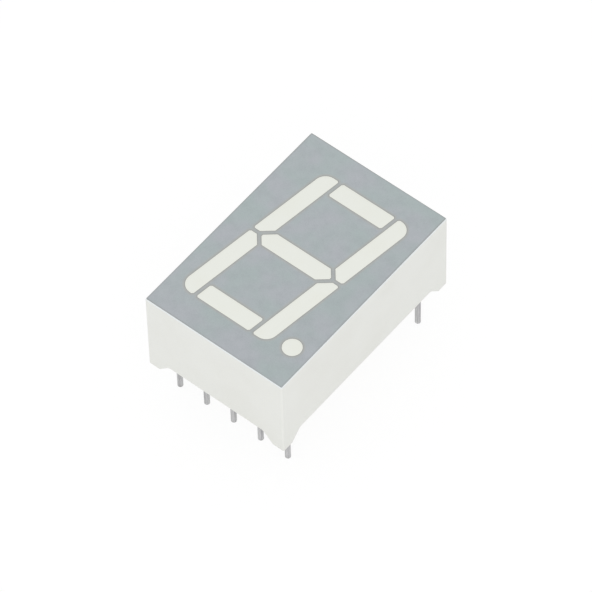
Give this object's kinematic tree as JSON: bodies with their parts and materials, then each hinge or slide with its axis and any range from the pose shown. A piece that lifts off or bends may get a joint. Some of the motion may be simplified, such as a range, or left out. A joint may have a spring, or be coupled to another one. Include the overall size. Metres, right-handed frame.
{
  "type": "seven-segment led display",
  "caption": "Single-digit seven-segment display with a decimal point, a grey face, a white box housing on corner feet, and rows of round pins.",
  "frame": {"origin": "centre of the pin pattern, on the seating plane under the housing's four feet", "axes": "+X across the digit to the reader's right, +Y up the digit, +Z out of the face"},
  "size_m": [0.0126, 0.019, 0.012],
  "materials": {
    "white_housing": "satin",
    "grey_film": "matte",
    "diffusing_resin": "satin",
    "board_laminate": "matte",
    "copper": "satin",
    "solder": "satin",
    "potting_resin": "gloss",
    "tinned_pin": "satin",
    "chip": "gloss",
    "bond_wire": "polished"
  },
  "bodies": {
    "root": {"reflector_housing": "white_housing", "face_film": "grey_film", "circuit_board": "board_laminate", "copper_tracks": "copper", "solder_joints": "solder", "potting_resin": "potting_resin", "segment_a": "diffusing_resin", "segment_b": "diffusing_resin", "segment_c": "diffusing_resin", "segment_d": "diffusing_resin", "segment_e": "diffusing_resin", "segment_f": "diffusing_resin", "segment_g": "diffusing_resin", "decimal_point": "diffusing_resin", "pin_1": "tinned_pin", "pin_2": "tinned_pin", "pin_3": "tinned_pin", "pin_4": "tinned_pin", "pin_5": "tinned_pin", "pin_6": "tinned_pin", "pin_7": "tinned_pin", "pin_8": "tinned_pin", "pin_9": "tinned_pin", "pin_10": "tinned_pin", "led_chip_a": "chip", "led_chip_b": "chip", "led_chip_c": "chip", "led_chip_d": "chip", "led_chip_e": "chip", "led_chip_f": "chip", "led_chip_g": "chip", "led_chip_dp": "chip", "bond_wire_a": "bond_wire", "bond_wire_b": "bond_wire", "bond_wire_c": "bond_wire", "bond_wire_d": "bond_wire", "bond_wire_e": "bond_wire", "bond_wire_f": "bond_wire", "bond_wire_g": "bond_wire", "bond_wire_dp": "bond_wire"}
  },
  "joints": []
}
